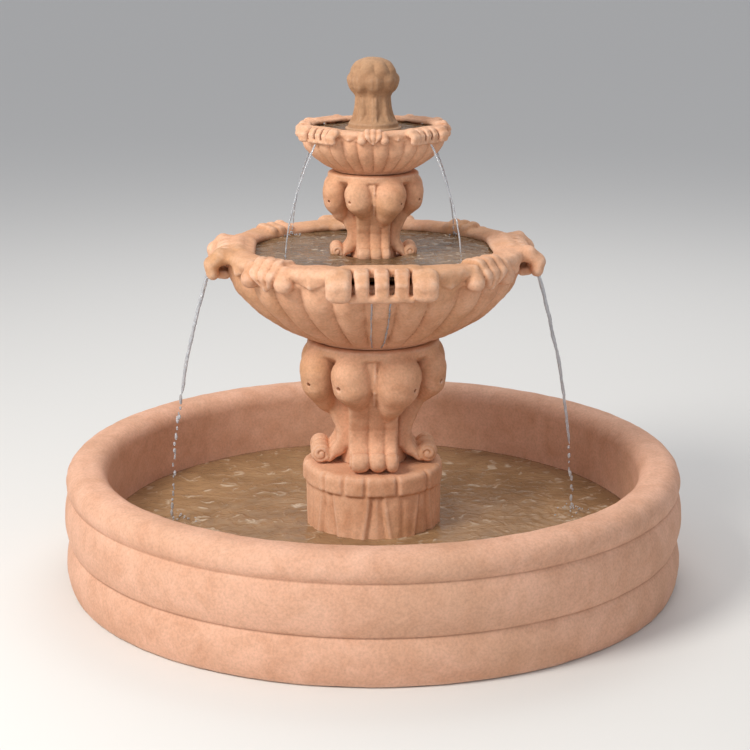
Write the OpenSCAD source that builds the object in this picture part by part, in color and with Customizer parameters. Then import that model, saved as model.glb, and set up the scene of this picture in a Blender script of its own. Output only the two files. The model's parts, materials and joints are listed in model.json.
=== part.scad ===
// Tiered garden fountain in cast stone, with its pump, valve and riser.
// Millimetres, +Z up, origin on the ground at the centre of the pool, front towards -Y.

/* [Pool] */
// Outside diameter of the pool at its middle band
pool_d = 1830; // [1700:10:2000]
// Height of the pool's rim above the ground
pool_h = 362; // [340:2:400]
// Thickness of the pool's floor
pool_floor_t = 50; // [45:1:55]
// Radial thickness of the pool's wall
pool_wall_t = 129; // [110:1:150]

/* [Plinth] */
// Outside diameter of the plinth's top band
plinth_d = 416; // [410:2:440]
// Height of the plinth from the pool's floor
plinth_h = 293; // [285:1:320]
// Height of the plinth's plain top band
plinth_band_h = 61; // [50:1:70]
// Width of the service opening at the back
door_w = 150; // [140:2:160]
// Height of the service opening at the back
door_h = 190; // [170:2:200]

/* [Tiers] */
// Height of the lower pedestal
lower_pedestal_h = 370; // [350:5:390]
// Size of the upper pedestal as a share of the lower one
upper_pedestal_scale = 0.672; // [0.64:0.004:0.70]
// Size of the upper bowl as a share of the lower one
upper_bowl_scale = 0.48; // [0.45:0.01:0.50]
// Turn of the lower consoles and spouts from the front
tier_turn = 3; // [0:0.5:6]
// Turn of the upper bowl's spouts from the lower bowl's
upper_bowl_turn = 45; // [45:1:50]
// Thickness of the rubber setting pads
pad_t = 3; // [2:0.5:4]

/* [Plumbing] */
// Outside diameter of the copper riser pipe
riser_d = 16; // [15:0.5:17]
// Wall thickness of the riser pipe
riser_wall = 1; // [0.8:0.1:1.5]
// Bore of the pool's drain sleeve
drain_bore_d = 38; // [34:1:42]
// Outside diameter of the waste pipe that the drain takes
waste_pipe_d = 40; // [40:1:44]
// Diameter of the entry for the pump's cable
cable_d = 7; // [6:0.5:9]

/* [Hidden] */
$fn = 96;

// Clearances
cut = 1;          // how far a cutter runs past the face that it cuts
gap = 0.4;        // between curved faces of pieces that move past each other
bore_r = 20;      // hole for the riser through every stone piece
riser_r = riser_d / 2;

// Pool
pool_r = pool_d / 2;
pool_in_r = pool_r - pool_wall_t;
rim_r = 50;                              // half the thickness of the rolled rim
low_band_h = 136;
mid_band_h = 145;
band_in = 13;                            // how far each groove lies inside the bands
roll_in = 8;                             // how far the rolled rim stands in from the bands

// Levels, from the ground up
plinth_top = pool_floor_t + plinth_h;
lower_bowl_z = plinth_top + lower_pedestal_h + pad_t;
boss_h = 239;                            // from the bowl's foot to the seat in its middle
upper_pedestal_z = lower_bowl_z + boss_h;
upper_pedestal_h = lower_pedestal_h * upper_pedestal_scale;
upper_bowl_z = upper_pedestal_z + upper_pedestal_h + pad_t;
upper_boss_h = boss_h * upper_bowl_scale - 3;
finial_z = upper_bowl_z + upper_boss_h;

// Plinth
plinth_r = plinth_d / 2;
chamber_r = 152;
chamber_h = 250;
door_gap = 1.5;
leaf_count = 8;

// Pump, centred on the riser's axis, with its intake towards the back
pump_z = pool_floor_t + 52;
motor_w = 84;
motor_l = 76;
volute_r = 36;
volute_y = 13;                           // half the length of the volute
well_r = 17;
well_l = 52;
shaft_r = 1.5;
stub_top = 50;                           // top of the outlet stub above the pump's axis
tail_r = 8.2;                            // hose tails
tail_bore_r = 6;
barb_z = pump_z + stub_top - 8;
hose_z = barb_z + 16;
hose_l = 62;
hose_r = 11.5;

// Valve
valve_z = hose_z + hose_l + 20;          // centre of the ball
ball_r = 11;
stem_r = 4;
lever_y = 27;
lever_l = 58;
riser_z = valve_z + 14;                  // foot of the lower riser
riser_join_z = upper_pedestal_z + 120;
riser_top = finial_z + 14;

// Drain
drain_x = -330;
drain_y = 400;
drain_r = drain_bore_d / 2;
waste_socket_h = 18;

module around(n, first = 0) {
  for (i = [0 : n - 1]) rotate(first + i * 360 / n) children();
}

module ring(r_out, r_in, h) {
  difference() {
    cylinder(r = r_out, h = h);
    translate([0, 0, -cut]) cylinder(r = r_in, h = h + 2 * cut);
  }
}

// A cylinder along +Y that starts at the origin
module along_y(r, l) {
  rotate([-90, 0, 0]) cylinder(r = r, h = l);
}

// Points along an arc, from angle a0 to a1 in n steps
function arc(x, z, r, a0, a1, n) =
  [for (i = [0 : n]) let (a = a0 + (a1 - a0) * i / n) [x + r * cos(a), z + r * sin(a)]];

// Outer edge of a band that bulges from r_edge to r_edge + rise between z0 and z0 + h
function band(r_edge, rise, z0, h) =
  let (r = (h * h / 4 + rise * rise) / (2 * rise), a = asin(h / 2 / r))
  arc(r_edge + rise - r, z0 + h / 2, r, -a, a, 10);

module pool_basin() color("peachpuff") {
  outline = concat(
    [[0, 0]],
    band(pool_r - band_in, band_in, 0, low_band_h),
    band(pool_r - band_in - 1, band_in, low_band_h, mid_band_h),
    arc(pool_r - roll_in - rim_r, pool_h - rim_r, rim_r, -35, 90, 14),
    arc(pool_in_r + rim_r, pool_h - rim_r, rim_r, 90, 180, 10),
    [[pool_in_r, pool_floor_t], [0, pool_floor_t]]);
  difference() {
    rotate_extrude($fn = 180) polygon(outline);
    translate([drain_x, drain_y, -cut]) cylinder(r = drain_r + 4, h = pool_floor_t + 2 * cut);
  }
}

module drain_sleeve() color("white") translate([drain_x, drain_y, 0]) {
  difference() {
    union() {
      cylinder(r = drain_r + 4, h = pool_floor_t);
      translate([0, 0, pool_floor_t]) cylinder(r = drain_r + 16, h = 4);
    }
    translate([0, 0, -cut]) cylinder(r = drain_r, h = pool_floor_t + 6);
    // socket for the waste pipe, from below
    translate([0, 0, -cut]) cylinder(r = waste_pipe_d / 2 + 0.25, h = waste_socket_h + cut);
  }
}

module drain_plug() color("dimgray") translate([drain_x, drain_y, 0]) {
  translate([0, 0, 24]) cylinder(r = drain_r - gap, h = pool_floor_t - 20);
  translate([0, 0, pool_floor_t + 4]) cylinder(r = drain_r + 9, h = 8);
  translate([0, 0, pool_floor_t + 12]) ring_eye();
}

module ring_eye() {
  difference() {
    translate([-5, -4, 0]) cube([10, 8, 14]);
    translate([0, -4 - cut, 8]) along_y(2.6, 8 + 2 * cut);
  }
}

module plug_ring() color("silver") {
  // passes through the plug's eye and stands up from it
  translate([drain_x, drain_y, pool_floor_t + 29]) rotate([0, 90, 0])
    rotate_extrude() translate([10, 0]) circle(r = 1.5, $fn = 24);
}

// Block that cuts the service opening, or trims the door when shrunk all round
module door_block(shrink) {
  foot = shrink > 0 ? shrink : -cut;
  translate([-door_w / 2 + shrink, chamber_r - 32, pool_floor_t + foot])
    cube([door_w - 2 * shrink, plinth_r, door_h - shrink - foot]);
}

module plinth_leaves() {
  around(leaf_count, tier_turn) translate([plinth_r - 34, 0, pool_floor_t + 4])
    cylinder(r = 32, h = plinth_h - plinth_band_h + 6);
}

module plinth() color("peachpuff") {
  difference() {
    union() {
      translate([0, 0, plinth_top - plinth_band_h]) cylinder(r = plinth_r, h = plinth_band_h);
      translate([0, 0, pool_floor_t]) cylinder(r = plinth_r - 14, h = plinth_h);
      plinth_leaves();
    }
    translate([0, 0, pool_floor_t - cut]) cylinder(r = chamber_r, h = chamber_h + cut);
    cylinder(r = bore_r, h = plinth_top + cut);
    door_block(0);
    for (side = [-1, 1]) translate([side * plinth_r, 0, pool_floor_t])
      cube([2 * (plinth_r - chamber_r) + 40, 44, 56], center = true);
  }
}

module plinth_door() color("peachpuff") {
  intersection() {
    difference() {
      union() {
        translate([0, 0, pool_floor_t]) cylinder(r = plinth_r - 14, h = plinth_h - plinth_band_h);
        plinth_leaves();
      }
      translate([0, 0, pool_floor_t - cut]) cylinder(r = chamber_r + 8, h = chamber_h);
      // finger grip in the middle of the panel
      translate([0, plinth_r, pool_floor_t + door_h * 0.72]) rotate([0, 90, 0])
        cylinder(r = 14, h = 70, center = true);
    }
    door_block(door_gap);
  }
}

// Baluster with four double-lobed consoles, height lower_pedestal_h, foot at z = 0
module pedestal_shape() {
  h = lower_pedestal_h;
  waist_r = 116;
  bulge_r = 92;
  scroll_r = 38;
  difference() {
    rotate_extrude() {
      square([waist_r, h]);
      square([176, 20]);
      translate([218 - bulge_r, h - 95]) circle(r = bulge_r);
      translate([178 - scroll_r, 42]) circle(r = scroll_r);
      translate([0, h - 30]) square([192, 30]);
    }
    // deep recesses between the consoles
    around(4, 45) translate([220, 0, 26]) cylinder(r = 72, h = h - 64);
    // groove down the middle of each console
    around(4) translate([226, 0, 26]) cylinder(r = 18, h = h - 64);
  }
}

module lower_pedestal() color("burlywood") {
  difference() {
    translate([0, 0, plinth_top]) rotate(tier_turn) pedestal_shape();
    translate([0, 0, plinth_top - cut]) cylinder(r = bore_r, h = lower_pedestal_h + 2 * cut);
  }
}

module upper_pedestal() color("burlywood") {
  difference() {
    translate([0, 0, upper_pedestal_z]) rotate(tier_turn) scale(upper_pedestal_scale) pedestal_shape();
    translate([0, 0, upper_pedestal_z - cut]) cylinder(r = bore_r, h = upper_pedestal_h + 2 * cut);
  }
}

module setting_pads(z, pcd_r, r) {
  around(3, 90) translate([pcd_r, 0, z]) cylinder(r = r, h = pad_t);
}

module lower_setting_pads() color("dimgray")
  setting_pads(lower_bowl_z - pad_t, 130, 22);

module upper_setting_pads() color("dimgray")
  setting_pads(upper_bowl_z - pad_t, 80, 13);

// Bowl with four spouts, foot at z = 0, made at the lower bowl's size
module bowl_shape(belly_r, belly_x, belly_z, foot_r) {
  wall = 52;
  rim_top = 288;
  lip_r = 24;
  lip_x = 430;
  spout_w = 290;
  difference() {
    union() {
      rotate_extrude($fn = 144) {
        intersection() {
          union() {
            translate([belly_x, belly_z]) circle(r = belly_r, $fn = 180);
            square([belly_x, rim_top]);
            square([foot_r, 20]);
          }
          square([lip_x, rim_top - lip_r]);
        }
        translate([lip_x, rim_top - lip_r]) circle(r = lip_r);
      }
      // rolled lip and raised shoulders of each spout
      around(4, -90) {
        translate([446, spout_w / 2, 248]) rotate([90, 0, 0]) cylinder(r = 32, h = spout_w);
        for (side = [-1, 1]) translate([434, side * 108, 276]) sphere(r = 36);
      }
    }
    // inside of the bowl
    rotate_extrude($fn = 144) intersection() {
      union() {
        translate([belly_x, belly_z]) circle(r = belly_r - wall, $fn = 180);
        square([belly_x, belly_z]);
      }
      translate([0, 44]) square([412, 300]);
    }
    // channels that the water leaves by
    around(4, -90) translate([380, -52, 250]) cube([160, 104, 80]);
  }
}

module bowl_boss(r, h) {
  translate([0, 0, 20]) cylinder(r = r, h = h - 20);
}

module lower_bowl() color("peachpuff") {
  difference() {
    union() {
      translate([0, 0, lower_bowl_z]) rotate(tier_turn) bowl_shape(418, 72, 410, 176);
      translate([0, 0, lower_bowl_z]) bowl_boss(132, boss_h);
    }
    translate([0, 0, lower_bowl_z - cut]) cylinder(r = bore_r, h = boss_h + 2 * cut);
  }
}

module upper_bowl() color("peachpuff") {
  difference() {
    union() {
      translate([0, 0, upper_bowl_z]) rotate(upper_bowl_turn) scale(upper_bowl_scale)
        bowl_shape(403, 94, 389, 228);
      translate([0, 0, upper_bowl_z]) bowl_boss(86, upper_boss_h);
    }
    translate([0, 0, upper_bowl_z - cut]) cylinder(r = bore_r, h = upper_boss_h + 2 * cut);
  }
}

// Rubber bung that seals the riser in a bowl's boss
module stopper(z, h) {
  translate([0, 0, z]) ring(bore_r, riser_r, h);
}

module lower_bowl_stopper() color("dimgray") stopper(upper_pedestal_z - 34, 34);

module upper_bowl_stopper() color("dimgray") stopper(finial_z - 30, 30);

module finial() color("peachpuff") translate([0, 0, finial_z]) {
  difference() {
    union() {
      cylinder(r = 84, h = 28);
      translate([0, 0, 20]) cylinder(r1 = 78, r2 = 56, h = 46);
      cylinder(r = 55, h = 120);
      rotate_extrude() {
        intersection() {
          union() {
            translate([24, 145]) circle(r = 55);
            square([40, 208]);
            translate([0, 158]) circle(r = 51);
          }
          square([90, 209]);
        }
      }
    }
    translate([0, 0, -cut]) cylinder(r = 24, h = 56);
    // notches that let the water out at the foot
    around(4) translate([0, -9, -cut]) cube([90, 18, 9 + cut]);
  }
}

module riser(z0, z1) {
  translate([0, 0, z0]) ring(riser_r, riser_r - riser_wall, z1 - z0);
}

module lower_riser() color("peru") riser(riser_z, riser_join_z);

module upper_riser() color("peru") riser(riser_join_z, riser_top);

module riser_coupling() color("peru") translate([0, 0, riser_join_z - 18]) ring(riser_r + 1.5, riser_r, 36);

module riser_nozzle() color("goldenrod") translate([0, 0, riser_top - 12]) {
  difference() {
    union() {
      cylinder(r = 12, h = 20);
      translate([0, 0, 20]) cylinder(r1 = 12, r2 = 7, h = 6);
    }
    translate([0, 0, -cut]) cylinder(r = riser_r, h = 12 + cut);
    cylinder(r = 6, h = 20);
    around(2) translate([0, 0, 16]) rotate([90, 0, 0]) cylinder(r = 2.5, h = 30, center = true);
    around(2, 90) translate([0, 0, 16]) rotate([90, 0, 0]) cylinder(r = 2.5, h = 30, center = true);
  }
}

module pump_housing() color("darkslategray") translate([0, -volute_y, pump_z]) {
  difference() {
    translate([-motor_w / 2, -motor_l, -motor_w / 2]) cube([motor_w, motor_l, motor_w]);
    translate([0, -well_l, 0]) along_y(well_r, well_l + cut);
    translate([0, -well_l - 6, 0]) along_y(3, 8);
    // edges taken off along the length
    for (a = [45 : 90 : 315]) rotate([0, a, 0]) translate([motor_w * 0.66, -motor_l - cut, -motor_w / 2])
      cube([motor_w / 2, motor_l + 2 * cut, motor_w]);
    // cooling grooves along both sides
    for (side = [-1, 1]) for (i = [-2 : 2]) translate([side * motor_w / 2, -motor_l / 2, i * 10])
      cube([6, motor_l - 20, 4], center = true);
    translate([0, -motor_l - cut, 18]) along_y(cable_d / 2 + 3, 14 + cut);
  }
}

module pump_volute() color("darkslategray") translate([0, 0, pump_z]) {
  difference() {
    union() {
      translate([0, -volute_y, 0]) along_y(volute_r, 2 * volute_y);
      translate([0, 0, volute_r - 3]) cylinder(r = 11, h = stub_top - volute_r + 3);
    }
    translate([0, -volute_y - cut, 0]) along_y(volute_r - 4, 2 * volute_y - 3 + cut);
    translate([0, volute_y - 4, 0]) along_y(13, 6);
    cylinder(r = tail_bore_r, h = stub_top + cut);
  }
  // spider that carries the front bush
  translate([0, volute_y - 3, 0]) difference() {
    union() {
      along_y(5, 3);
      for (a = [0 : 120 : 240]) rotate([0, a, 0]) translate([-1.5, 0.5, 2]) cube([3, 2, 12.5]);
    }
    translate([0, -cut, 0]) along_y(3, 3 + 2 * cut);
  }
}

module rotor_magnet() color("black") translate([0, -volute_y - well_l + 4, pump_z]) {
  difference() {
    along_y(well_r - 2, well_l - 6);
    translate([0, -cut, 0]) along_y(shaft_r + 0.05, well_l);
  }
}

module impeller() color("ivory") translate([0, -volute_y - 2, pump_z]) {
  difference() {
    union() {
      along_y(7, 20);
      along_y(12, 4);
      translate([0, 4, 0]) along_y(22, 2);
      for (a = [0 : 60 : 300]) rotate([0, a, 0]) translate([-1.2, 5, 4]) cube([2.4, 11, 21]);
    }
    translate([0, -cut, 0]) along_y(shaft_r + 0.05, 22);
  }
}

module rotor_shaft() color("white") translate([0, -volute_y - well_l - 5, pump_z])
  along_y(shaft_r, well_l + 2 * volute_y + 5);

module shaft_bushes() color("dimgray") {
  for (y = [-volute_y - well_l - 6, volute_y - 3]) translate([0, y, pump_z]) difference() {
    along_y(3, y < 0 ? 6 : 3);
    translate([0, -cut, 0]) along_y(shaft_r, 8);
  }
}

module intake_strainer() color("dimgray") translate([0, 5, pump_z]) {
  difference() {
    along_y(volute_r + 4, 42);
    translate([0, -cut, 0]) along_y(volute_r + gap, 39 + cut);
    // notch round the outlet stub
    translate([-12, -cut, 0]) cube([24, 7 + cut, volute_r + 10]);
    for (i = [-4 : 4]) translate([i * 7, 39, 0]) cube([3, 12, 56 - abs(i) * 5], center = true);
    for (a = [20 : 20 : 340]) rotate([0, a, 0]) translate([0, 25, volute_r + 2]) cube([3, 18, 12], center = true);
  }
}

module suction_feet() color("black") {
  for (x = [-28, 28]) for (y = [-78, -26]) translate([x, y, pool_floor_t]) {
    cylinder(r = 12, h = 4);
    cylinder(r = 6, h = pump_z - motor_w / 2 - pool_floor_t);
  }
}

module cord_gland() color("black") translate([0, -volute_y - motor_l, pump_z + 18]) {
  difference() {
    union() {
      translate([0, -8, 0]) along_y(cable_d / 2 + 5, 8);
      along_y(cable_d / 2 + 3, 13);
    }
    translate([0, -8 - cut, 0]) along_y(cable_d / 2, 16 + cut);
  }
}

// Hose tail with shallow grooves, foot at z = 0
module hose_tail(l) {
  difference() {
    cylinder(r = tail_r, h = l);
    for (z = [6 : 6 : l - 3]) translate([0, 0, z]) ring(tail_r + cut, tail_r - 0.6, 1.5);
  }
}

module outlet_barb() color("darkslategray") translate([0, 0, barb_z]) {
  difference() {
    union() {
      cylinder(r = 16, h = 14, $fn = 6);
      translate([0, 0, 14]) hose_tail(26);
    }
    translate([0, 0, -cut]) cylinder(r = 11, h = 8 + cut);
    cylinder(r = tail_bore_r, h = 50);
  }
}

module pump_hose() color("gray") translate([0, 0, hose_z]) ring(hose_r, tail_r, hose_l);

module clamp_places() {
  for (z = [hose_z + 8, hose_z + hose_l - 17]) translate([0, 0, z]) children();
}

module hose_clamps() color("silver") clamp_places() {
  ring(hose_r + 0.9, hose_r, 9);
  difference() {
    translate([hose_r + 0.5, -8, 0]) cube([8, 16, 9]);
    translate([hose_r + 5, -8 - cut, 4.5]) along_y(2.6, 18);
  }
}

module clamp_screws() color("silver") clamp_places() {
  translate([hose_r + 5, -10, 4.5]) along_y(2.5, 20);
  translate([hose_r + 5, -14, 4.5]) difference() {
    along_y(3.6, 4);
    translate([-4, -cut, -0.5]) cube([8, 1 + cut, 1]);
  }
}

module valve_body() color("goldenrod") translate([0, 0, valve_z]) {
  difference() {
    union() {
      translate([0, 0, -44]) hose_tail(28);
      translate([0, 0, -18]) cylinder(r = 16, h = 8, $fn = 6);
      translate([0, 0, -14]) cylinder(r = 17, h = 28);
      translate([0, 0, 12]) cylinder(r = 16, h = 10, $fn = 6);
      translate([0, 0, 20]) cylinder(r = 12.5, h = 12);
      along_y(8, 22);
    }
    sphere(r = ball_r + gap);
    translate([0, 0, -10.5]) cylinder(r = 10, h = 21);
    translate([0, 0, -46]) cylinder(r = tail_bore_r, h = 60);
    translate([0, 0, 14]) cylinder(r = riser_r, h = 20);
    along_y(stem_r + 0.05, 30);
  }
}

module valve_seats() color("white") translate([0, 0, valve_z]) difference() {
  for (z = [-10.5, 7]) translate([0, 0, z]) ring(10, tail_bore_r, 3.5);
  sphere(r = ball_r + gap);
}

module valve_ball() color("silver") translate([0, 0, valve_z]) difference() {
  sphere(r = ball_r);
  cylinder(r = tail_bore_r, h = 30, center = true);
  translate([-2, 9, -6]) cube([4, 4, 12]);
}

module valve_stem() color("goldenrod") translate([0, 0, valve_z]) {
  translate([0, 11, 0]) along_y(stem_r, 23);
  intersection() {
    translate([-2, 9, -3.5]) cube([4, 3, 7]);
    along_y(stem_r, 30);
  }
}

module valve_lever() color("silver") translate([0, lever_y, valve_z]) difference() {
  union() {
    along_y(10, 3);
    translate([-6, 0, -lever_l]) cube([12, 3, lever_l]);
  }
  translate([0, -cut, 0]) along_y(stem_r, 6);
}

module lever_grip() color("firebrick") translate([0, lever_y, valve_z]) difference() {
  translate([-8, -1.5, -lever_l - 4]) cube([16, 6, 38]);
  translate([-6, 0, -lever_l]) cube([12, 3, 40]);
}

module lever_nut() color("silver") translate([0, lever_y + 3, valve_z]) difference() {
  rotate([-90, 0, 0]) cylinder(r = 7, h = 3.5, $fn = 6);
  translate([0, -cut, 0]) along_y(stem_r, 6);
}

pool_basin();
drain_sleeve();
drain_plug();
plug_ring();
plinth();
plinth_door();
lower_pedestal();
lower_setting_pads();
lower_bowl();
lower_bowl_stopper();
upper_pedestal();
upper_setting_pads();
upper_bowl();
upper_bowl_stopper();
finial();
lower_riser();
riser_coupling();
upper_riser();
riser_nozzle();
pump_housing();
pump_volute();
rotor_magnet();
impeller();
rotor_shaft();
shaft_bushes();
intake_strainer();
suction_feet();
cord_gland();
outlet_barb();
pump_hose();
hose_clamps();
clamp_screws();
valve_body();
valve_seats();
valve_ball();
valve_stem();
valve_lever();
lever_grip();
lever_nut();
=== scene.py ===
"""Tiered cast-stone fountain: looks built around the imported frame.

The carved pieces are distance fields in millimetres, turned into meshes with OpenVDB.
"""
import json
import math

import bpy
import numpy as np
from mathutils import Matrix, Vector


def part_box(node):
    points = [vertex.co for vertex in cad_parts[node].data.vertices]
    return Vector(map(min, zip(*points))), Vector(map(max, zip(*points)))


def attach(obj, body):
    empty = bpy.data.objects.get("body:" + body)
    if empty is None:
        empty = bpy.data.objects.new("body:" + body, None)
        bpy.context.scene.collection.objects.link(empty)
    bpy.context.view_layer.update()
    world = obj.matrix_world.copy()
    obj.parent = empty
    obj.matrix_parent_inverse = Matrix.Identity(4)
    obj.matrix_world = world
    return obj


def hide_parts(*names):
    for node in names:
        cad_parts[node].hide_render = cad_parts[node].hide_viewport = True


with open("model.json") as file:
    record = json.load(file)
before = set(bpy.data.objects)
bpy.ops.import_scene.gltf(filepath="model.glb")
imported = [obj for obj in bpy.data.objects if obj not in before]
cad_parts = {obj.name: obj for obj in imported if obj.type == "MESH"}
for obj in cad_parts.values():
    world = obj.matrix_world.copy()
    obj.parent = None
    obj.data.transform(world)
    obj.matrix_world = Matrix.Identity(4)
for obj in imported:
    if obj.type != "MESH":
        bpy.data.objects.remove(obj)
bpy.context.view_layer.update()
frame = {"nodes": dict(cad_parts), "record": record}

import openvdb
from mathutils import Vector

MM = 0.001
TIER_TURN = math.radians(3)          # the lower spouts and consoles, as in the CAD
UPPER_TURN = math.radians(45)        # the upper bowl's spouts
HALF_DIAGONAL = math.sqrt(0.5)
# each bowl's belly is part of a round: its centre, out and up, and its radius
LOWER_BELLY = (72, 410, 418)
UPPER_BELLY = (94, 389, 403)
BELLY_R_MAX = 428                    # where the belly stops growing outwards
BOWL_SHELL = 52                      # thickness of a bowl's wall
RIM_INSET = 20                       # a bowl's rim is laid out this much wider than it stands


# ---------------------------------------------------------------- distance fields

def smooth_min(a, b, k):
    h = np.maximum(k - np.abs(a - b), 0) / k
    return np.minimum(a, b) - h * h * k * 0.25


def smooth_max(a, b, k):
    return -smooth_min(-a, -b, k)


def step(lo, hi, v):
    t = np.clip((v - lo) / (hi - lo), 0, 1)
    return t * t * (3 - 2 * t)


def ball(p, centre, r):
    return np.sqrt(sum((p[i] - centre[i]) ** 2 for i in range(len(p)))) - r


def egg(p, centre, radii):
    k = np.sqrt(sum(((p[i] - centre[i]) / radii[i]) ** 2 for i in range(3)))
    return (k - 1) * min(radii)


def limb(p, a, b, ra, rb):
    """Rod from a to b whose radius goes from ra to rb."""
    ab = np.subtract(b, a)
    t = sum((p[i] - a[i]) * ab[i] for i in range(len(p))) / float(ab @ ab)
    t = np.clip(t, 0, 1)
    gap = np.sqrt(sum((p[i] - a[i] - t * ab[i]) ** 2 for i in range(len(p))))
    return gap - (ra + (rb - ra) * t)


def chain(p, points, radii, k):
    """Limbs through points, blended into one bent arm."""
    d = limb(p, points[0], points[1], radii[0], radii[1])
    for i in range(1, len(points) - 1):
        d = smooth_min(d, limb(p, points[i], points[i + 1], radii[i], radii[i + 1]), k)
    return d


def fold(x, y):
    """How far out and how far to the left of the nearest of four arms at right angles a point is."""
    out = np.maximum(np.abs(x), np.abs(y))
    side = np.where(np.abs(x) >= np.abs(y), np.sign(x) * y, -np.sign(y) * x)
    return out, side


def spiral(a, b, first, pitch, turns):
    """Distance in the plane (a, b) from a spiral that starts first from the middle."""
    reach = np.hypot(a, b)
    turn = np.mod(np.arctan2(b, a) / (2 * math.pi), 1)
    lap = np.clip(np.round((reach - first) / pitch - turn), 0, turns)
    return np.abs(reach - first - pitch * (lap + turn))


def pedestal(x, y, z):
    """Baluster with four double-lobed consoles on scroll feet."""
    rho = np.hypot(x, y)
    r, t = fold(x, y)
    p, side = (r, t, z), (r, z)
    # shaft, flared out under the collar
    shaft = (rho - 98 - 88 * step(252, 352, z) ** 1.3) * 0.75
    shaft = smooth_max(shaft, z - 358, 4)
    collar = smooth_max(rho - 190, np.abs(z - 358) - 12, 12)
    d = smooth_min(shaft, collar, 22)
    # two lobes on each console, the left one shorter, with a thin ridge in the crease
    flat = ((r - 160) * 1.22, t, z)
    flat = ((r - 160) * 1.22, t, z)
    left = chain(flat, [(4, -72, 294), (0, -66, 262), (-22, -52, 222), (-44, -42, 190)],
                 [58, 54, 33, 14], 18)
    right = chain(flat, [(4, 64, 292), (0, 58, 258), (-22, 44, 204), (-48, 34, 158)],
                  [67, 61, 38, 15], 20)
    melt = 5 + 10 * step(306, 340, z)
    for lobe, eye in ((left, (189, -106, 264)), (right, (189, 106, 258))):
        d = smooth_min(d, smooth_max(lobe, 6.5 - ball(p, eye, 0), 6), melt)
    web = chain(p, [(160, -13, 322), (158, -13, 270), (134, -13, 214)], [26, 26, 20], 8)
    ridge = chain(p, [(182, -4, 332), (186, -4, 300), (182, -4, 250), (154, -5, 205)], [4, 5, 5, 4], 4)
    d = smooth_min(smooth_min(d, web, 5), ridge, 6)
    # bracket below the lobes: side outline, then three reeds across it
    outline = chain(side, [(120, 198), (95, 146), (82, 104), (86, 74), (104, 46), (134, 20)],
                    [30, 26, 25, 22, 18, 15], 14)
    outline = smooth_min(outline, ball(side, (158, 33), 29), 6)
    reed = np.minimum(np.minimum(np.abs(t + 48) / 29, np.abs(t - 5) / 24), np.abs(t - 48) / 19.5)
    depth = 10 + 9 * step(70, 25, z)
    reeded = 1 - np.sqrt(np.maximum(1 - (0.98 * np.minimum(reed, 1)) ** 2, 0))
    across = np.abs(t + 5) - 72
    curl = smooth_max(spiral(r - 158, z - 33, 6, 14, 1) - 2.2, -6 - across, 3)
    bracket = smooth_max(outline + depth * reeded, across, 9)
    bracket = smooth_max(bracket, -curl, 3)
    d = smooth_min(d, bracket, 5)
    return smooth_max(d, -z, 2)


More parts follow.
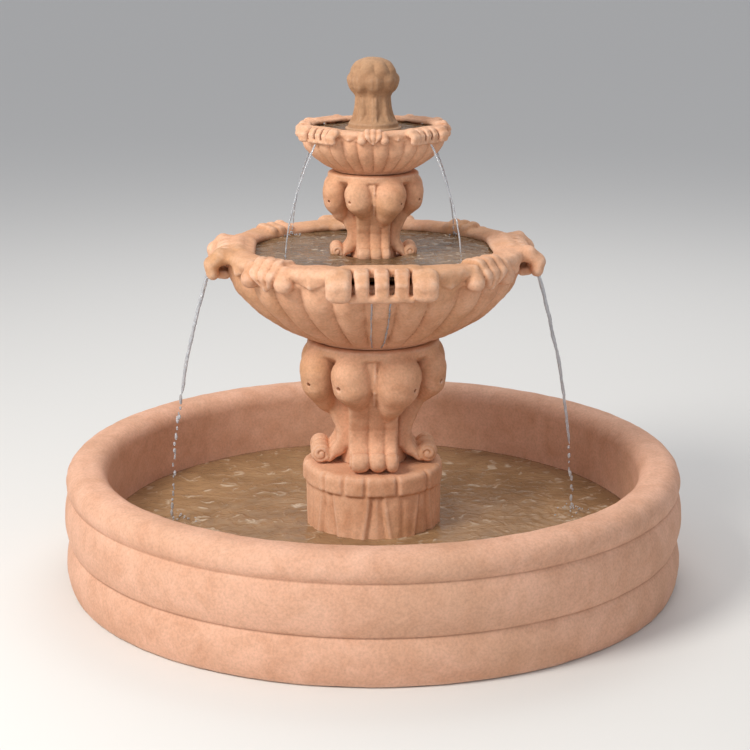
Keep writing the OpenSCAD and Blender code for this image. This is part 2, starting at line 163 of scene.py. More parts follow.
def bowl(x, y, z, belly_at, boss_r, boss_h, foot_r):
    """Bowl with gadroons and a rolled rim: four hooded spouts, with leaves and knobs between them."""
    rho = np.hypot(x, y)
    r, side_t = fold(x, y)
    t = np.abs(side_t)
    psi = np.degrees(np.arctan2(t, r))
    # belly with gadroons
    petals = 28
    place = psi * petals / 360
    valley = 2 * np.abs(place - np.round(place))
    scallop = 0.35 * valley ** 2 + 0.65 * (1 - np.sqrt(np.maximum(1 - (0.985 * valley) ** 2, 0)))
    fade = step(0, 60, z) * (1 - step(208, 228, z))
    centre_r, centre_z, belly_r = belly_at
    from_centre = np.hypot(np.maximum(rho - centre_r, 0), z - centre_z)
    belly = smooth_max(from_centre - belly_r, rho - BELLY_R_MAX, 30) + 20 * scallop * fade
    inside = from_centre - belly_r + BOWL_SHELL
    belly = smooth_max(belly, -inside, 8)
    belly = smooth_max(belly, z - 268, 8)
    foot = smooth_max(rho - foot_r, z - 16, 12)
    belly = smooth_min(belly, foot, 12)
    # from here on r and rim_rho are the rim's own radii; 6 more brings the diagonal out as far
    rim_rho, r = rho + RIM_INSET, r + RIM_INSET
    along, across = (r + t) * HALF_DIAGONAL + 6, (r - t - RIM_INSET) * HALF_DIAGONAL
    p, side, diagonal = (r, t, z), (r, z), (along, z)
    # rolled rim, broad and wavy
    wave = np.sin(np.radians(4 * psi)) ** 2
    lip = np.hypot((rim_rho - 418) / (1.75 + 0.35 * wave), z - 256 - 7 * wave) - 19
    d = smooth_min(belly, lip, 10)
    # draped lip between the block and the knob
    sag = np.clip(1 - np.abs(psi - 26) / 9, 0, 1)
    drape = limb((rim_rho, z), (446, 258), (452, 232), 19, 13)
    drape = drape + 30 * (1 - sag) * step(258, 226, z)
    beside = (np.abs(psi - 26) - 11) * 7.8
    d = smooth_min(d, smooth_max(drape, beside, 8), 6)
    # spout: a hood bridges the rim, over a channel that the fingers comb
    hood = chain(side, [(372, 262), (410, 267), (446, 264)], [12, 19, 19], 10)
    hood = smooth_max(hood, t - 112, 16)
    d = smooth_min(d, hood, 8)
    channel = chain(side, [(340, 247), (440, 246), (470, 232)], [9, 11, 14], 4)
    channel = smooth_max(channel, t - 82, 5)
    d = smooth_max(d, -channel, 3)
    block = chain(side, [(430, 262), (458, 264), (485, 243), (481, 217)], [20, 22, 19, 18], 6)
    block = smooth_max(block, np.abs(t - 117) - 37, 30)
    finger = chain(side, [(438, 268), (458, 264), (474, 244), (470, 212)], [14, 14, 11, 10], 4)
    finger = smooth_max(finger, np.minimum(t, np.abs(t - 54)) - 19.5, 12)
    slot = np.maximum(np.minimum(np.abs(t - 27) - 8, np.abs(t - 79) - 5), 434 - r)
    d = smooth_max(d, -np.maximum(slot, np.abs(z - 260) - 34), 4)
    ledge = smooth_max(limb(side, (446, 204), (466, 206), 12, 11), t - 90, 5)
    d = smooth_min(d, smooth_min(finger, ledge, 3), 3)
    d = smooth_min(d, block, 4)
    # round knob beside each leaf
    knob_at = np.radians(35)
    out_r, out_t = math.cos(knob_at), math.sin(knob_at)
    stem = chain(p, [(446 * out_r, 446 * out_t, 258), (455 * out_r, 455 * out_t, 229)], [21, 27], 6)
    d = smooth_min(d, stem, 4)
    # leaf that droops over the rim on the diagonal, in three lobes
    leaf = chain(diagonal, [(404, 266), (438, 268), (462, 246), (456, 204)], [18, 20, 17, 9], 8)
    width = 50 - 28 * step(262, 200, z)
    lobes = np.abs(np.cos(across * math.pi / (0.72 * width)))
    leaf = leaf + 8 * (1 - lobes) ** 2 - 2
    leaf = smooth_max(leaf, (np.abs(across) - width) * 0.9, 10)
    leaf = smooth_max(leaf, 198 + 0.8 * np.abs(across) - z, 10)
    d = smooth_min(d, leaf, 4)
    # boss in the middle, with the floor round it
    boss = smooth_max(rho - boss_r, z - boss_h, 5)
    boss = np.maximum(boss, 10 - z)
    d = smooth_min(d, boss, 12)
    return smooth_max(d, -z, 2)


def finial(x, y, z):
    """Leafy bud on a neck of upright leaves and a stepped base."""
    rho = np.hypot(x, y)
    eighth = math.pi / 4
    a = np.arctan2(y, x)
    near = np.abs(np.mod(a + eighth / 2, eighth) - eighth / 2)
    far = eighth / 2 - near
    p = (rho * np.cos(near), rho * np.sin(near), z)
    q = (rho * np.cos(far), rho * np.sin(far), z)
    base = smooth_max(rho - 80, z - 13, 6)
    base = smooth_min(base, smooth_max(rho - 71, z - 27, 8), 5)
    flare = (rho - 47 - 20 * step(60, 20, z) ** 1.4) * 0.85
    neck = smooth_max(flare, z - 124, 10)
    d = smooth_min(base, neck, 6)
    # upright leaves, folded along the middle
    leaf = chain(p, [(54, 0, 30), (43, 0, 56), (41, 0, 104)], [12, 11, 11], 8)
    leaf = smooth_max(leaf, -limb(p, (66, 0, 34), (53, 0, 100), 3, 3), 5)
    d = smooth_min(d, leaf, 4)
    # leaves of the bud: a lower ring that opens outwards, an upper ring, and a cap
    bud = smooth_min(egg(p, (0, 0, 150), (59, 59, 42)), egg(p, (0, 0, 178), (48, 48, 29)), 8)
    cone = smooth_max((rho - 48 - 22 * step(104, 146, z)) * 0.85, np.abs(z - 128) - 22, 8)
    bud = smooth_min(bud, cone, 8)
    lower = chain(p, [(42, 0, 112), (53, 0, 132), (56, 0, 148)], [12, 17, 18], 10)
    lower = smooth_max(lower, -limb(p, (72, 0, 108), (81, 0, 156), 5, 5), 8)
    upper = chain(q, [(46, 0, 150), (45, 0, 168), (40, 0, 180)], [14, 19, 17], 10)
    inner = chain(p, [(26, 0, 172), (25, 0, 186), (18, 0, 194)], [14, 13, 10], 8)
    for ring in (lower, upper, inner):
        bud = smooth_min(bud, ring, 13)
    cap = egg(p, (0, 0, 191), (25, 25, 17))
    d = smooth_min(d, smooth_min(bud, cap, 4), 4)
    return smooth_max(d, -z, 1)


# ---------------------------------------------------------------- from fields to meshes

def surface(field, origin, voxel):
    """Points in millimetres and quads of the field's zero surface."""
    limit = 3 * voxel
    grid = openvdb.FloatGrid(limit)
    grid.copyFromArray(np.clip(field, -limit, limit).astype(np.float32))
    points, quads = grid.convertToQuads(0.0)
    return np.asarray(points, float) * voxel + origin, np.asarray(quads, np.int64)


def carve(shape, radius, height, voxel):
    """Mesh of a shape about +Z, from z = 0 up."""
    n = int(radius / voxel) + 3
    x = (np.arange(-n, n + 1) * voxel).astype(np.float32)
    z = (np.arange(-3, int(height / voxel) + 4) * voxel).astype(np.float32)
    field = shape(*np.meshgrid(x, x, z, indexing="ij"))
    return surface(field, (x[0], x[0], z[0]), voxel)


def lumps(v, size, seed):
    """Smooth noise from -1 to 1 at the points v, with lumps of about size."""
    side = 32
    lattice = np.random.default_rng(seed).uniform(-1, 1, (side, side, side))
    q = v / size + side
    i = np.floor(q).astype(int)
    f = q - i
    f = f * f * (3 - 2 * f)
    total = np.zeros(len(v))
    for corner in range(8):
        bits = [(corner >> k) & 1 for k in range(3)]
        weight = np.prod([f[:, k] if bits[k] else 1 - f[:, k] for k in range(3)], axis=0)
        total += weight * lattice[tuple((i[:, k] + bits[k]) % side for k in range(3))]
    return total


def mesh_from(name, points, faces):
    mesh = bpy.data.meshes.new(name)
    if isinstance(faces, np.ndarray):
        mesh.vertices.add(len(points))
        mesh.vertices.foreach_set("co", np.asarray(points, np.float32).ravel())
        count, sides = faces.shape
        mesh.loops.add(count * sides)
        mesh.loops.foreach_set("vertex_index", faces.astype(np.int32).ravel())
        mesh.polygons.add(count)
        mesh.polygons.foreach_set("loop_start", np.arange(0, count * sides, sides, dtype=np.int32))
        mesh.update(calc_edges=True)
    else:
        mesh.from_pydata([tuple(v) for v in points], [], faces)
    mesh.validate()
    mesh.polygons.foreach_set("use_smooth", np.ones(len(mesh.polygons), bool))
    mesh.update()
    return mesh


def vertex_normals(mesh):
    n = np.empty(len(mesh.vertices) * 3, np.float32)
    mesh.vertex_normals.foreach_get("vector", n)
    return n.reshape(-1, 3)


def weather(mesh, wear, seed):
    """Pushes the surface in and out a little, as cast stone has it. wear is in metres."""
    v = np.empty(len(mesh.vertices) * 3, np.float32)
    mesh.vertices.foreach_get("co", v)
    v = v.reshape(-1, 3)
    rise = lumps(v, 0.045, seed) + 0.5 * lumps(v, 0.017, seed + 1) + 0.35 * lumps(v, 0.008, seed + 2)
    low = v[:, 2].min()
    rise = rise * np.clip((v[:, 2] - low) / 0.004, 0, 1)
    v = v + vertex_normals(mesh) * (wear * rise)[:, None]
    mesh.vertices.foreach_set("co", v.ravel())
    mesh.update()


def piece(name, mesh, material, body, nodes=()):
    """Adds a mesh to the scene as a piece of the object."""
    obj = bpy.data.objects.new(name, mesh)
    bpy.context.scene.collection.objects.link(obj)
    mesh.materials.append(material)
    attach(obj, body)
    if nodes:
        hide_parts(*nodes)
    return obj


def carved(name, shape_mesh, scale, turn, z, wear, seed):
    """A Blender mesh of a carved shape, scaled, turned about +Z and lifted to z metres."""
    points, quads = shape_mesh
    c, s = math.cos(turn), math.sin(turn)
    k = scale * MM
    placed = np.stack([
        (points[:, 0] * c - points[:, 1] * s) * k,
        (points[:, 0] * s + points[:, 1] * c) * k,
        points[:, 2] * k + z], axis=1)
    mesh = mesh_from(name, placed, quads)
    weather(mesh, wear, seed)
    return mesh


# ---------------------------------------------------------------- materials

def node_tree(name):
    """A new material, its nodes and its shader."""
    material = bpy.data.materials.new(name)
    material.use_nodes = True
    tree = material.node_tree
    shader = tree.nodes["Principled BSDF"]
    return material, tree, shader


def noise(tree, scale, detail, vector, roughness=0.6, distortion=0.0):
    node = tree.nodes.new("ShaderNodeTexNoise")
    node.inputs["Scale"].default_value = scale
    node.inputs["Detail"].default_value = detail
    node.inputs["Roughness"].default_value = roughness
    node.inputs["Distortion"].default_value = distortion
    tree.links.new(vector, node.inputs["Vector"])
    return node.outputs["Fac"]


def ramp(tree, fac, stops):
    node = tree.nodes.new("ShaderNodeValToRGB")
    elements = node.color_ramp.elements
    elements[0].position, elements[0].color = stops[0][0], (*stops[0][1], 1)
    elements[1].position, elements[1].color = stops[-1][0], (*stops[-1][1], 1)
    for position, colour in stops[1:-1]:
        elements.new(position).color = (*colour, 1)
    tree.links.new(fac, node.inputs["Fac"])
    return node.outputs["Color"]


def mix(tree, kind, fac, a, b):
    node = tree.nodes.new("ShaderNodeMix")
    node.data_type = "RGBA"
    node.blend_type = kind
    for value, socket in ((fac, node.inputs[0]), (a, node.inputs[6]), (b, node.inputs[7])):
        if isinstance(value, bpy.types.NodeSocket):
            tree.links.new(value, socket)
        elif isinstance(value, tuple):
            socket.default_value = (*value, 1)
        else:
            socket.default_value = value
    return node.outputs[2]


def bump(tree, shader, height, strength, distance):
    node = tree.nodes.new("ShaderNodeBump")
    node.inputs["Strength"].default_value = strength
    node.inputs["Distance"].default_value = distance
    tree.links.new(height, node.inputs["Height"])
    tree.links.new(node.outputs["Normal"], shader.inputs["Normal"])


def grey(value):
    return (value, value, value)


def stone(name, light, shade, stain, stain_amount):
    """Cast stone: mottled colour, painted shade in the hollows, paler edges, pores and grain."""
    material, tree, shader = node_tree(name)
    place = tree.nodes.new("ShaderNodeNewGeometry")
    position = place.outputs["Position"]
    mottle = noise(tree, 9, 6, position, 0.65, 0.4)
    colour = ramp(tree, mottle, [(0.32, shade), (0.62, light)])
    patches = noise(tree, 3.2, 4, position, 0.6)
    weight = ramp(tree, patches, [(0.48, grey(0.0)), (0.72, grey(stain_amount))])
    colour = mix(tree, "MIX", weight, colour, stain)
    fine = noise(tree, 140, 3, position)
    grain = ramp(tree, fine, [(0.30, grey(0.86)), (0.62, grey(1.04))])
    colour = mix(tree, "MULTIPLY", 1.0, colour, grain)
    # painted shade: the stone is darkened in its hollows and creases, where less light reaches
    hollow = ramp(tree, place.outputs["Pointiness"], [(0.40, (0.50, 0.38, 0.30)), (0.492, grey(1.0))])
    colour = mix(tree, "MULTIPLY", 0.85, colour, hollow)
    edge = ramp(tree, place.outputs["Pointiness"], [(0.508, grey(0.0)), (0.60, grey(0.55))])
    colour = mix(tree, "MIX", edge, colour, (0.92, 0.76, 0.64))
    tree.links.new(colour, shader.inputs["Base Color"])
    rough = ramp(tree, mottle, [(0.3, grey(0.72)), (0.7, grey(0.9))])
    tree.links.new(rough, shader.inputs["Roughness"])
    shader.inputs["Specular IOR Level"].default_value = 0.3
    pores = noise(tree, 320, 4, position, 0.7)
    bump(tree, shader, pores, 0.35, 0.002)
    return material


def water(name, deep, shallow, clarity, ripple_scale, shine):
    """Rippled water: cloudy colour, and paler ripple tops, partly foam and partly painted ripple
    highlights.
    """
    material, tree, shader = node_tree(name)
    place = tree.nodes.new("ShaderNodeNewGeometry")
    position = place.outputs["Position"]
    cloudy = noise(tree, 6, 5, position, 0.6, 0.6)
    colour = ramp(tree, cloudy, [(0.35, deep), (0.66, shallow)])
    shader.inputs["Roughness"].default_value = 0.06
    shader.inputs["IOR"].default_value = 1.33
    shader.inputs["Transmission Weight"].default_value = clarity
    shader.inputs["Specular IOR Level"].default_value = shine
    waves = noise(tree, ripple_scale, 3, position, 0.5, 0.8)
    bump(tree, shader, waves, 0.8, 0.01)
    # pale ripple tops: foam, and painted highlights where the ripples catch the light
    foam_and_painted_highlight = ramp(tree, waves, [(0.60, grey(0.0)), (0.74, grey(0.65))])
    colour = mix(tree, "MIX", foam_and_painted_highlight, colour, (0.70, 0.58, 0.44))
    tree.links.new(colour, shader.inputs["Base Color"])
    return material


def solid_finish(name, colour, roughness, metallic, grain_scale, grain, varied=0.12):
    """Plastic, rubber or metal with a fine grain and slight changes of tone."""
    material, tree, shader = node_tree(name)
    place = tree.nodes.new("ShaderNodeNewGeometry")
    position = place.outputs["Position"]
    tone = noise(tree, 40, 4, position)
    low = tuple(c * (1 - varied) for c in colour)
    high = tuple(min(1, c * (1 + varied)) for c in colour)
    tree.links.new(ramp(tree, tone, [(0.35, low), (0.65, high)]), shader.inputs["Base Color"])
    shader.inputs["Metallic"].default_value = metallic
    wear = ramp(tree, tone, [(0.3, grey(roughness * 0.85)), (0.7, grey(min(1, roughness * 1.15)))])
    tree.links.new(wear, shader.inputs["Roughness"])
    bump(tree, shader, noise(tree, grain_scale, 3, position), grain, 0.0006)
    return material


pool_stone = stone("pool_stone", (0.74, 0.43, 0.30), (0.62, 0.33, 0.21), (0.56, 0.32, 0.20), 0.5)
tier_stone = stone("tier_stone", (0.78, 0.45, 0.285), (0.62, 0.31, 0.175), (0.54, 0.28, 0.13), 0.8)
pool_water_look = water("pool_water_look", (0.25, 0.145, 0.070), (0.37, 0.225, 0.115), 0.0, 24, 0.32)
bowl_water_look = water("bowl_water_look", (0.13, 0.075, 0.036), (0.24, 0.145, 0.075), 0.0, 30, 0.22)
stream_look = water("stream_look", (0.60, 0.62, 0.66), (0.80, 0.82, 0.86), 0.5, 60, 0.5)
finial_stone = stone("finial_stone_look", (0.56, 0.33, 0.19), (0.40, 0.21, 0.11), (0.26, 0.15, 0.08), 0.8)


# ---------------------------------------------------------------- stone pieces

def low_z(node):
    """Height of a node's lowest point, in metres."""
    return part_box(node)[0][2]


def high_z(node):
    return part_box(node)[1][2]


def ring_grid(outline, segments):
    """Mesh data of a closed outline of (r, z) turned about +Z."""
    rows = len(outline)
    angles = np.arange(segments) * 2 * math.pi / segments
    r = np.array([q[0] for q in outline])
    z = np.array([q[1] for q in outline])
    points = np.stack([
        np.outer(np.cos(angles), r), np.outer(np.sin(angles), r),
        np.broadcast_to(z, (segments, rows))], axis=2).reshape(-1, 3)
    i = np.arange(segments)[:, None]
    j = np.arange(rows)[None, :]
    i2, j2 = (i + 1) % segments, (j + 1) % rows
    faces = np.stack([i * rows + j, i2 * rows + j, i2 * rows + j2, i * rows + j2], axis=2)
    return points, faces.reshape(-1, 4)


def arc(r, z, radius, a0, a1, n):
    """Points of an outline's round stretch about (r, z), with its angles in degrees."""
    return [(r + radius * math.cos(a), z + radius * math.sin(a))
            for a in np.radians(np.linspace(a0, a1, n))]


def band(r_edge, rise, z0, h, n):
    """Part of an outline: a round bulge from z0 up, h tall, that stands rise proud of r_edge."""
    radius = (h * h / 4 + rise * rise) / (2 * rise)
    a = math.degrees(math.asin(h / 2 / radius))
    return arc(r_edge + rise - radius, z0 + h / 2, radius, -a, a, n)


def line(a, b, n):
    """Points between a and b, without either."""
    return [(a[0] + (b[0] - a[0]) * k / n, a[1] + (b[1] - a[1]) * k / n) for k in range(1, n)]


def make_pool():
    r_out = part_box("pool_basin")[1][0]
    top = high_z("pool_basin")
    floor = low_z("plinth")
    r_in = r_out - 0.129
    rim = 0.050                      # radius of the rolled rim's edges
    groove = 0.013
    roll_out = r_out - 0.008
    hub = 0.004                      # the smallest radius, near the axis
    hollow = 0.003                   # the underside is raised inside its foot ring
    outline = [(hub, hollow), (r_out - 0.08, hollow), (r_out - 0.075, 0.0)]
    outline += [(r_out - groove - 0.012, 0.0)]
    outline += band(r_out - groove - 0.002, groove, 0.004, 0.128, 22)
    outline += [(r_out - groove - 0.006, 0.136)]
    outline += band(r_out - groove - 0.001, groove, 0.140, 0.139, 26)
    outline += arc(roll_out - rim, top - rim, rim, -36, 90, 24)
    outline += line((roll_out - rim, top), (r_in + rim, top), 5)
    outline += arc(r_in + rim, top - rim, rim, 90, 182, 18)
    outline += line((r_in, top - rim), (r_in, floor), 26)
    outline += [(r_in - 0.004, floor + 0.004), (r_in - 0.02, floor)]
    outline += line((r_in - 0.02, floor), (hub, floor), 12) + [(hub, floor)]
    points, faces = ring_grid(outline, 320)
    mesh = mesh_from("pool_basin_stone", points, faces)
    weather(mesh, 0.0011, 11)
    return piece("pool_basin_stone", mesh, pool_stone, "root", ["pool_basin"])


def plinth_field(x, y, z, band_z, top):
    """Drum with a blocked band above eight broad leaves, darts between them."""
    rho = np.hypot(x, y)
    angle = np.mod(np.arctan2(y, x) - TIER_TURN, 2 * math.pi)
    # worn blocks in the band, of uneven width and bulge
    rng = np.random.default_rng(5)
    blocks = 15
    joints = (np.arange(blocks) + rng.uniform(-0.25, 0.25, blocks)) * 2 * math.pi / blocks
    bulge = rng.uniform(-2.5, 2, blocks)
    nearest = np.full(x.shape, 1e3, np.float32)
    swell = np.zeros(x.shape, np.float32)
    for joint, more in zip(joints, bulge):
        away = np.mod(angle - joint + math.pi, 2 * math.pi) - math.pi
        nearest = np.minimum(nearest, np.abs(away))
        swell = np.where((away >= 0) & (away < math.pi / 6), more, swell)
    gap = nearest * 208
    band_r = 208 + swell * (1 - np.exp(-(gap / 12) ** 2)) - 7 * np.exp(-(gap / 6) ** 2)
    ring = smooth_max(rho - band_r, band_z - z, 12)
    ring = smooth_max(ring, z - top, 22)
    # leaves with rolled edges
    eighth = math.pi / 4
    from_leaf = np.abs(np.mod(angle, eighth) - eighth / 2)
    from_dart = eighth / 2 - from_leaf
    arc_leaf, arc_dart = from_leaf * 200, from_dart * 200
    leaf_w = 44 + 22 * step(30, band_z + 10, z)
    crown = np.sqrt(np.maximum(1 - (arc_leaf / leaf_w) ** 2, 0)) ** 0.6
    rolled = np.exp(-((arc_leaf - leaf_w + 12) / 7) ** 2)
    leaf_r = 189 + 12 * crown + 4 * rolled - 3 * np.exp(-(arc_leaf / 9) ** 2)
    dart_w = 46 - 24 * step(40, band_z, z)
    dart_r = 188 + 9 * np.clip(1 - arc_dart / dart_w, 0, 1) ** 0.7
    drum = (rho - smooth_max(leaf_r, dart_r, 3)) * 0.7
    drum = np.maximum(drum, z - band_z - 8)
    return smooth_max(smooth_min(ring, drum, 3), -z, 2)


def make_plinth():
    """The plinth with its chamber, service opening and inlets, and the door cut from the same carving."""
    z0 = low_z("plinth")
    top = (high_z("plinth") - z0) / MM
    voxel = 3.6
    band_tall = 61
    chamber_r, chamber_top = 152, 250
    play = 2                         # between the door and its opening
    n = int(212 / voxel) + 3
    x = (np.arange(-n, n + 1) * voxel).astype(np.float32)
    z = (np.arange(-3, int(top / voxel) + 4) * voxel).astype(np.float32)
    gx, gy, gz = np.meshgrid(x, x, z, indexing="ij")
    carving = plinth_field(gx, gy, gz, top - band_tall, top)
    rho = np.hypot(gx, gy)
    door_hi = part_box("plinth_door")[1]
    half, head = door_hi[0] / MM, (door_hi[2] - z0) / MM
    opening = np.maximum(np.maximum(np.abs(gx) - half - play, gz - head - play), 100 - gy)
    panel = np.maximum(np.maximum(np.abs(gx) - half, np.abs(gz - head / 2 - 1) - head / 2 + 1), 100 - gy)
    chamber = np.maximum(rho - chamber_r, gz - chamber_top)
    inlet = np.maximum(np.maximum(np.abs(gy) - 22, gz - 28), 120 - np.abs(gx))
    bore = rho - 20
    body = carving
    for hollow in (chamber, opening, inlet, bore):
        body = smooth_max(body, -hollow, 3)
    grip = np.hypot(gy - 208, gz - 0.78 * head) - 15
    grip = smooth_max(grip, np.abs(gx) - 36, 6)
    door = smooth_max(smooth_max(carving, panel, 3), 160 - rho, 3)
    door = smooth_max(door, -grip, 3)
    origin = (x[0], x[0], z[0])
    for name, field, node, owner in (
            ("plinth_stone", body, "plinth", "root"),
            ("plinth_door_stone", door, "plinth_door", "service_door")):
        mesh = carved(name, surface(field, origin, voxel), 1, 0, z0, 0.0009, 21)
        piece(name, mesh, tier_stone, owner, [node])


def make_tiers():
    shape = carve(pedestal, 232, 372, 3.4)
    scale = (high_z("upper_pedestal") - low_z("upper_pedestal")) / (
        high_z("lower_pedestal") - low_z("lower_pedestal"))
    for name, k, seed in (("lower_pedestal", 1, 31), ("upper_pedestal", scale, 37)):
        mesh = carved(name + "_stone", shape, k, TIER_TURN, low_z(name), 0.0010 * k, seed)
        piece(name + "_stone", mesh, tier_stone, "root", [name])
    bowl_scale = 0.48
    for name, k, turn, belly_at, boss_r, boss_z, foot_r, voxel, seed in (
            ("lower_bowl", 1, TIER_TURN, LOWER_BELLY, 132, low_z("upper_pedestal"), 178, 5.0, 41),
            ("upper_bowl", bowl_scale, UPPER_TURN, UPPER_BELLY, 86 / bowl_scale,
             low_z("finial"), 230, 5.4, 47)):
        foot = low_z(name)
        boss_h = (boss_z - foot) / MM / k
        shape = carve(lambda x, y, z: bowl(x, y, z, belly_at, boss_r, boss_h, foot_r), 490, 292, voxel)
        mesh = carved(name + "_stone", shape, k, turn, foot, 0.0016 * (0.4 + 0.6 * k), seed)
        piece(name + "_stone", mesh, tier_stone, "root", [name])
    mesh = carved("finial_stone", carve(finial, 90, 212, 1.9), 1, TIER_TURN, low_z("finial"), 0.0008, 53)
    piece("finial_stone", mesh, finial_stone, "top_finial", ["finial"])


make_pool()
make_plinth()
make_tiers()


# ---------------------------------------------------------------- water

POOL_LEVEL = 0.155
LOWER_LEVEL = 0.970
UPPER_LEVEL = 1.325


def pond(name, r_in, r_out, level, depth, sources, height, material, segments=220, rows=70):
    """Body of still water with rings that run out from where streams fall in."""
    outline = [(r_in, level - depth)]
    outline += line((r_in, level - depth), (r_out, level - depth), 3) + [(r_out, level - depth)]
    outline += [(r_out, level)] + line((r_out, level), (r_in, level), rows) + [(r_in, level)]
    points, faces = ring_grid(outline, segments)
    top = points[:, 2] > level - depth / 2
    wave = 0.6 * lumps(points, 0.06, 71) + 0.4 * lumps(points, 0.025, 72)
    for sx, sy, power in sources:
        away = np.hypot(points[:, 0] - sx, points[:, 1] - sy)
        wave = wave + power * np.cos(away * 2 * math.pi / 0.035) * np.exp(-away / 0.09)
    points[:, 2] += np.where(top, wave * height, 0)
    mesh = mesh_from(name, points, faces)
    return piece(name, mesh, material, "root")


def falling(start, landing, bulge, n):
    """Points of a stream that leaves level and falls to its landing."""
    points = []
    for k in range(n + 1):
        t = k / n
        out = 1 - (1 - t) ** bulge
        points.append((start[0] + (landing[0] - start[0]) * out,
                       start[1] + (landing[1] - start[1]) * out,
                       start[2] + (landing[2] - start[2]) * t))
    return points


def tube(points, radii, sides=10):
    """Closed tube through points, with pointed ends."""
    rings = len(points)
    verts, faces = [], []
    for k, (p, r) in enumerate(zip(points, radii)):
        for s in range(sides):
            a = s * 2 * math.pi / sides
            verts.append((p[0] + r * math.cos(a), p[1] + r * math.sin(a), p[2]))
    for k in range(rings - 1):
        for s in range(sides):
            n = (s + 1) % sides
            faces.append((k * sides + s, (k + 1) * sides + s, (k + 1) * sides + n, k * sides + n))
    faces.append(tuple(range(sides)))
    faces.append(tuple(reversed(range((rings - 1) * sides, rings * sides))))
    return verts, faces


def drop(centre, r, tall, sides=10, rows=7):
    """Closed bead of water."""
    cx, cy, cz = centre
    points = [(cx, cy, cz + r * tall * math.cos(math.pi * k / rows)) for k in range(rows + 1)]
    radii = [max(r * math.sin(math.pi * k / rows), r * 0.02) for k in range(rows + 1)]
    return tube(points, radii, sides)


def add_part(parts, verts, faces):
    offset = len(parts[0])
    parts[0].extend(verts)
    parts[1].extend([tuple(i + offset for i in f) for f in faces])


def stream(name, start, landing, thick, seed, broken_from=0.55):
    """One stream: a wavering rope of water that breaks into beads lower down."""
    rng = np.random.default_rng(seed)
    path = falling(start, landing, 1.9, 150)
    parts = ([], [])
    rope_end = int(len(path) * broken_from)
    swell = rng.uniform(0.75, 1.3, len(path))
    swell = np.convolve(swell, np.ones(5) / 5, mode="same")
    swell[:3], swell[-3:] = 1, 1
    sway = np.convolve(rng.uniform(-1, 1, (len(path))), np.ones(9) / 9, mode="same") * thick * 0.8
    rope = [(p[0] + sway[k], p[1] + sway[-k - 1], p[2]) for k, p in enumerate(path[:rope_end])]
    radii = [thick * swell[k] * (1.15 - 0.5 * k / len(path)) for k in range(rope_end)]
    radii[-6:] = [radii[-6] * f for f in (1.0, 0.95, 0.85, 0.65, 0.4, 0.1)]
    add_part(parts, *tube(rope, radii))
    k = rope_end + 1
    while k < len(path) - 2:
        p = path[k]
        r = thick * rng.uniform(0.45, 0.95)
        shift = rng.uniform(-1, 1, 2) * thick * 0.9
        add_part(parts, *drop((p[0] + shift[0], p[1] + shift[1], p[2]), r, rng.uniform(1.3, 3.0)))
        k += int(rng.integers(2, 6))
    mesh = mesh_from(name, parts[0], parts[1])
    return piece(name, mesh, stream_look, "root")


def splash(name, centre, spread, count, seed):
    """Beads thrown up where a stream lands."""
    rng = np.random.default_rng(seed)
    parts = ([], [])
    for _ in range(count):
        a, out = rng.uniform(0, 2 * math.pi), spread * rng.uniform(0.1, 1) ** 1.4
        up = rng.uniform(0.0, 1.0) * spread * 0.55 * (1 - out / spread)
        r = rng.uniform(0.0012, 0.0034)
        at = (centre[0] + out * math.cos(a), centre[1] + out * math.sin(a), centre[2] + up + 0.001)
        add_part(parts, *drop(at, r, rng.uniform(0.7, 1.4), 8, 5))
    mesh = mesh_from(name, parts[0], parts[1])
    return piece(name, mesh, stream_look, "root")


def polar(r, angle, z):
    """A point at a radius and an angle from the front, positive towards +X."""
    return (r * math.sin(angle), -r * math.cos(angle), z)


def belly_point(z, angle, lift):
    """A point lift above the lower bowl's belly, z millimetres over its foot."""
    centre_r, centre_z, belly_r = LOWER_BELLY
    out = math.sqrt(belly_r ** 2 - (centre_z - z) ** 2)
    r = min(centre_r + out, BELLY_R_MAX) + lift
    return polar(r * MM, angle, low_z("lower_bowl") + z * MM)


def trickle(name, angle, seed):
    """Thread of water that clings to the belly from a slot down to the foot."""
    rng = np.random.default_rng(seed)
    heights = np.linspace(204, 12, 60)
    wander = np.cumsum(rng.uniform(-0.0016, 0.0016, len(heights)))
    path = [belly_point(z, angle + w, -0.6) for z, w in zip(heights, wander)]
    radii = rng.uniform(0.0016, 0.0030, len(heights))
    radii[0] = radii[-1] = 0.0006
    verts, faces = tube(path, radii, 8)
    return piece(name, mesh_from(name, verts, faces), stream_look, "root")


def make_water():
    side_landings = [polar(0.60, TIER_TURN + k * math.pi / 2, POOL_LEVEL) for k in (1, 2, 3)]
    pond("pool_water", 0.186, 0.787, POOL_LEVEL, 0.10,
         [(p[0], p[1], 1.6) for p in side_landings], 0.0030, pool_water_look)
    upper_landings = [polar(0.345, UPPER_TURN + k * math.pi / 2, LOWER_LEVEL) for k in range(4)]
    pond("lower_bowl_water", 0.112, 0.385, LOWER_LEVEL, 0.012,
         [(p[0], p[1], 1.2) for p in upper_landings], 0.0016, bowl_water_look, 180, 44)
    pond("upper_bowl_water", 0.060, 0.184, UPPER_LEVEL, 0.008, [], 0.0010, bowl_water_look, 120, 22)
    for k, landing in enumerate(side_landings, 1):
        start = polar(0.475, TIER_TURN + k * math.pi / 2, 0.925)
        broken_from = 0.5 if k == 3 else 0.72
        stream(f"lower_stream_{k}", start, landing, 0.0052, 80 + k, broken_from)
        splash(f"pool_splash_{k}", landing, 0.07, 26, 90 + k)
    for k, landing in enumerate(upper_landings):
        start = polar(0.227, UPPER_TURN + k * math.pi / 2, 1.300)
        stream(f"upper_stream_{k}", start, landing, 0.0025, 100 + k, 0.9)
        splash(f"bowl_splash_{k}", landing, 0.03, 12, 110 + k)
    # the front spout only lets two threads run down the belly
    for k, offset in enumerate((-0.062, 0.055)):
        trickle(f"belly_trickle_{k}", TIER_TURN + offset, 120 + k)


make_water()


# ---------------------------------------------------------------- finishes of the carried-over nodes

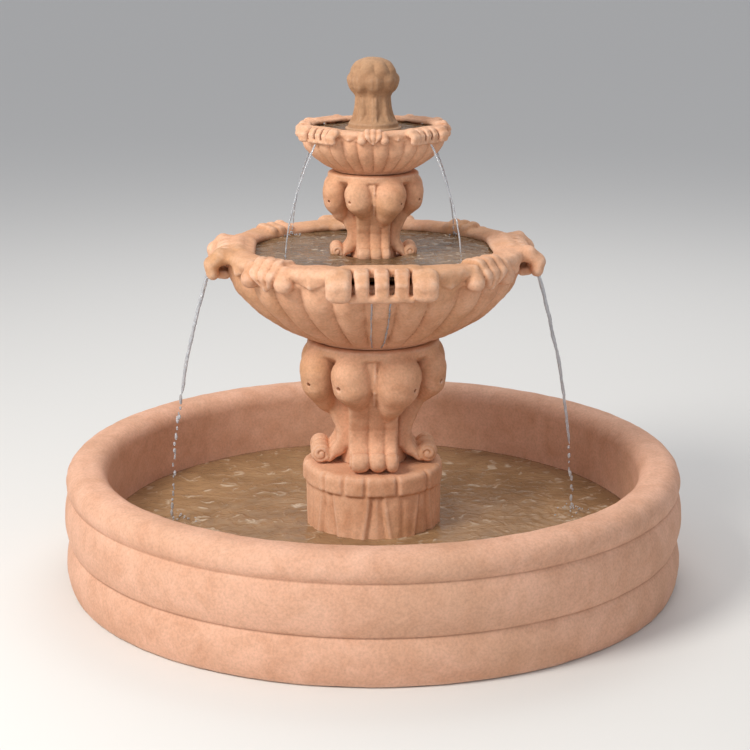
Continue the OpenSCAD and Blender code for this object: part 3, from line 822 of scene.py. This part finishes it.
def finish_nodes():
    looks = {
        "copper": solid_finish("copper_look", (0.48, 0.20, 0.12), 0.38, 1.0, 500, 0.15, 0.25),
        "brass": solid_finish("brass_look", (0.62, 0.42, 0.17), 0.30, 1.0, 600, 0.15, 0.15),
        "steel": solid_finish("steel_look", (0.55, 0.55, 0.56), 0.28, 1.0, 800, 0.2, 0.08),
        "grey_rubber": solid_finish("grey_rubber_look", (0.06, 0.06, 0.06), 0.75, 0.0, 900, 0.3),
        "black_rubber": solid_finish("black_rubber_look", (0.02, 0.02, 0.02), 0.70, 0.0, 900, 0.3),
        "black_plastic": solid_finish("black_plastic_look", (0.022, 0.025, 0.03), 0.45, 0.0, 1400, 0.35),
        "grey_plastic": solid_finish("grey_plastic_look", (0.06, 0.065, 0.07), 0.5, 0.0, 1400, 0.35),
        "white_plastic": solid_finish("white_plastic_look", (0.72, 0.72, 0.68), 0.4, 0.0, 1000, 0.12, 0.04),
        "ivory_plastic": solid_finish("ivory_plastic_look", (0.66, 0.60, 0.45), 0.4, 0.0, 1000, 0.12, 0.05),
        "magnet": solid_finish("magnet_look", (0.03, 0.03, 0.032), 0.55, 0.0, 700, 0.3),
        "shaft_ceramic": solid_finish("shaft_look", (0.82, 0.80, 0.76), 0.12, 0.0, 500, 0.05, 0.03),
        "vinyl": solid_finish("vinyl_look", (0.42, 0.47, 0.45), 0.22, 0.0, 300, 0.08, 0.06),
        "red_vinyl": solid_finish("red_vinyl_look", (0.42, 0.02, 0.015), 0.3, 0.0, 500, 0.12, 0.1),
    }
    for part in frame["record"]["subparts"]:
        look = looks.get(part["material_slot"])
        if look is None:
            continue
        mesh = frame["nodes"][part["node"]].data
        mesh.materials.clear()
        mesh.materials.append(look)


finish_nodes()


# ---------------------------------------------------------------- floor, lights and camera

def make_stage():
    size = 60
    mesh = bpy.data.meshes.new("floor")
    mesh.from_pydata([(-size, -size, 0), (size, -size, 0), (size, size, 0), (-size, size, 0)], [],
                     [(0, 1, 2, 3)])
    floor = bpy.data.objects.new("floor", mesh)
    material, _, shader = node_tree("floor_look")
    shader.inputs["Base Color"].default_value = (0.74, 0.73, 0.71, 1)
    shader.inputs["Roughness"].default_value = 0.9
    mesh.materials.append(material)
    bpy.context.scene.collection.objects.link(floor)
    floor.location.z = -0.0005


def area_light(name, place, aim, size, power, colour):
    data = bpy.data.lights.new(name, "AREA")
    data.shape = "DISK"
    data.size, data.energy, data.color = size, power, colour
    lamp = bpy.data.objects.new(name, data)
    lamp.location = place
    lamp.rotation_mode = "QUATERNION"
    lamp.rotation_quaternion = (Vector(aim) - Vector(place)).to_track_quat("-Z", "Y")
    bpy.context.scene.collection.objects.link(lamp)


def make_lights():
    aim = (0, 0, 0.6)
    area_light("key", (-3.4, -3.0, 4.4), aim, 2.2, 272, (1.0, 0.97, 0.91))
    area_light("fill", (-0.6, -5.2, 2.4), aim, 3.0, 32, (1.0, 0.97, 0.93))
    area_light("back", (0.6, 3.6, 5.2), aim, 4.0, 110, (1.0, 0.98, 0.95))
    world = bpy.data.worlds.new("studio")
    world.use_nodes = True
    world.node_tree.nodes["Background"].inputs["Color"].default_value = (0.93, 0.95, 1.0, 1)
    world.node_tree.nodes["Background"].inputs["Strength"].default_value = 0.52
    bpy.context.scene.world = world
    bpy.context.scene.view_settings.view_transform = "Standard"


def make_camera():
    """From the front and about 14.5 degrees above level, through a long lens."""
    data = bpy.data.cameras.new("camera")
    camera = bpy.data.objects.new("camera", data)
    data.sensor_width = 36
    data.lens = 88.5
    data.shift_x = 0.0024
    place, aim = Vector((0, -5.273, 1.9575)), Vector((0, 0, 0.598))
    camera.location = place
    camera.rotation_mode = "QUATERNION"
    camera.rotation_quaternion = (aim - place).to_track_quat("-Z", "Y")
    bpy.context.scene.collection.objects.link(camera)
    bpy.context.scene.camera = camera


make_stage()
make_lights()
make_camera()

bpy.context.view_layer.update()
